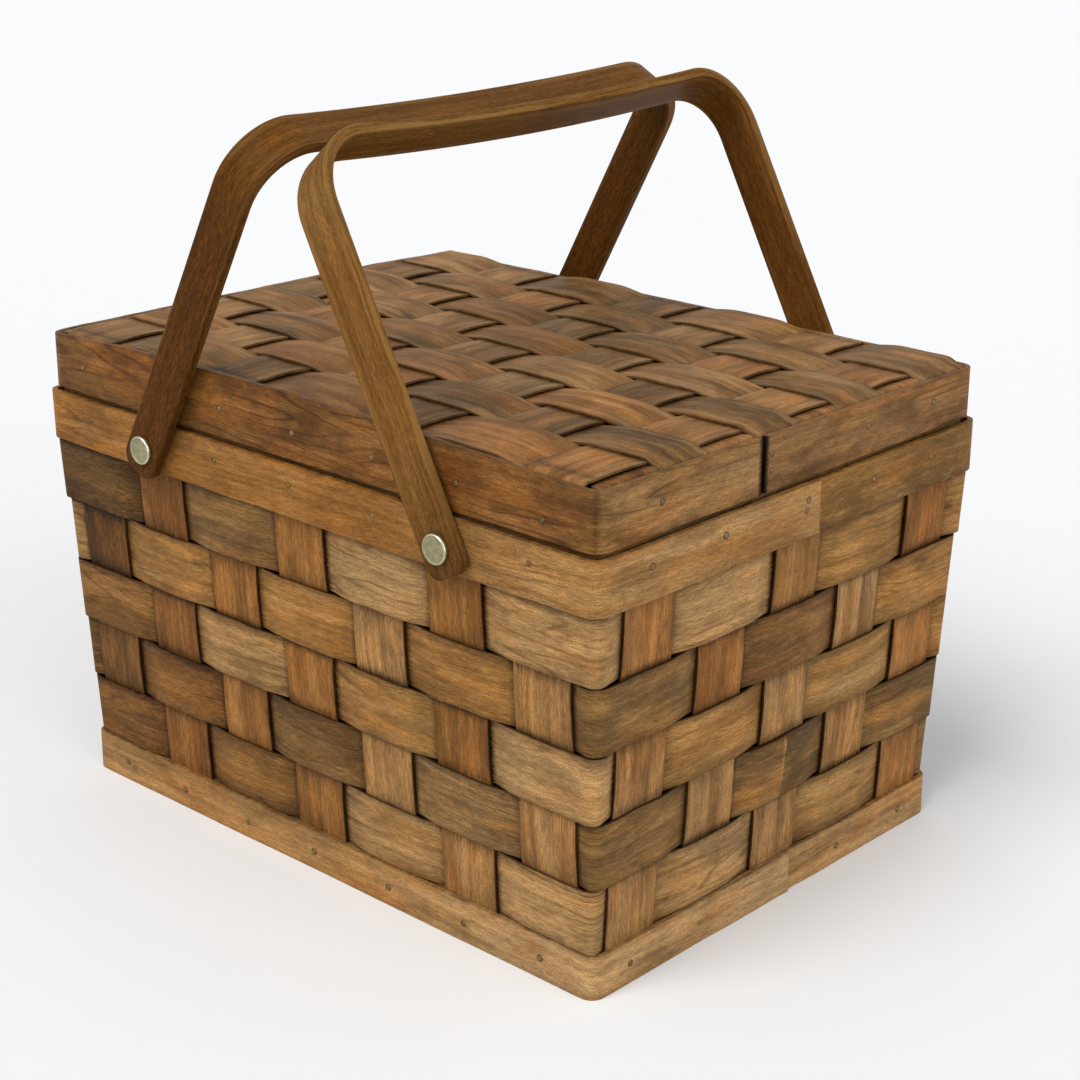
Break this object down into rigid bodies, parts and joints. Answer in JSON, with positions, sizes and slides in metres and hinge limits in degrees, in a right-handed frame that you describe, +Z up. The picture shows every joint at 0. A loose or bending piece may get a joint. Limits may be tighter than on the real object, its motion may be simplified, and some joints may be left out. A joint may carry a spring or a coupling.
{
  "type": "lidded splint basket",
  "caption": "Rectangular picnic basket woven from flat wood splints, with nailed bands, a lift-off woven lid and riveted bentwood handles that swing over the top.",
  "frame": {"origin": "centre of the footprint, on the surface that the basket stands on", "axes": "+X along the long side towards the end wall with the band joints, -Y to the front wall, +Z up"},
  "size_m": [0.281, 0.2258, 0.2748],
  "materials": {
    "stake_wood": "dry, fine upright grain",
    "weaver_wood": "dry, grain along the splint, mixed honey and olive brown",
    "band_wood": "stained, satin",
    "hoop_wood": "dry",
    "lid_wood": "dry, mixed brown and olive",
    "lid_band_wood": "stained, satin",
    "handle_wood": "stained, satin, long grain",
    "rivet_metal": "antique, satin with a bright rolled edge",
    "nail_metal": "dull, stained over"
  },
  "bodies": {
    "basket": {"cross_splint_1": "stake_wood", "cross_splint_2": "stake_wood", "cross_splint_3": "stake_wood", "cross_splint_4": "stake_wood", "cross_splint_5": "stake_wood", "cross_splint_6": "stake_wood", "cross_splint_7": "stake_wood", "long_splint_1": "stake_wood", "long_splint_2": "stake_wood", "long_splint_3": "stake_wood", "long_splint_4": "stake_wood", "long_splint_5": "stake_wood", "weaver_1": "weaver_wood", "weaver_2": "weaver_wood", "weaver_3": "weaver_wood", "weaver_4": "weaver_wood", "weaver_5": "weaver_wood", "base_band": "band_wood", "base_strips": "hoop_wood", "rim_band": "band_wood", "rim_hoop": "hoop_wood", "base_nails": "nail_metal", "rim_nails": "nail_metal", "rivets": "rivet_metal", "spacing_washers": "rivet_metal", "backing_washers": "rivet_metal"},
    "lid": {"lid_cross_1": "lid_wood", "lid_cross_2": "lid_wood", "lid_cross_3": "lid_wood", "lid_cross_4": "lid_wood", "lid_cross_5": "lid_wood", "lid_cross_6": "lid_wood", "lid_cross_7": "lid_wood", "lid_long_1": "lid_wood", "lid_long_2": "lid_wood", "lid_long_3": "lid_wood", "lid_long_4": "lid_wood", "lid_long_5": "lid_wood", "lid_long_6": "lid_wood", "lid_long_7": "lid_wood", "lid_long_8": "lid_wood", "lid_band": "lid_band_wood", "lid_hoop": "hoop_wood", "lid_nails": "nail_metal"},
    "handle_left": {"handle_left": "handle_wood"},
    "handle_right": {"handle_right": "handle_wood"}
  },
  "joints": [
    {"name": "lid_lift", "type": "slide", "parent": "basket", "child": "lid", "axis": [0, 0, 1], "range_m": [0, 0.06]},
    {"name": "handle_left_swing", "type": "hinge", "parent": "basket", "child": "handle_left", "pos_m": [-0.07567, 0, 0.1495], "axis": [0, -1, 0], "range_deg": [0, 175]},
    {"name": "handle_right_swing", "type": "hinge", "parent": "basket", "child": "handle_right", "pos_m": [0.07567, 0, 0.1495], "axis": [0, 1, 0], "range_deg": [0, 175]}
  ]
}
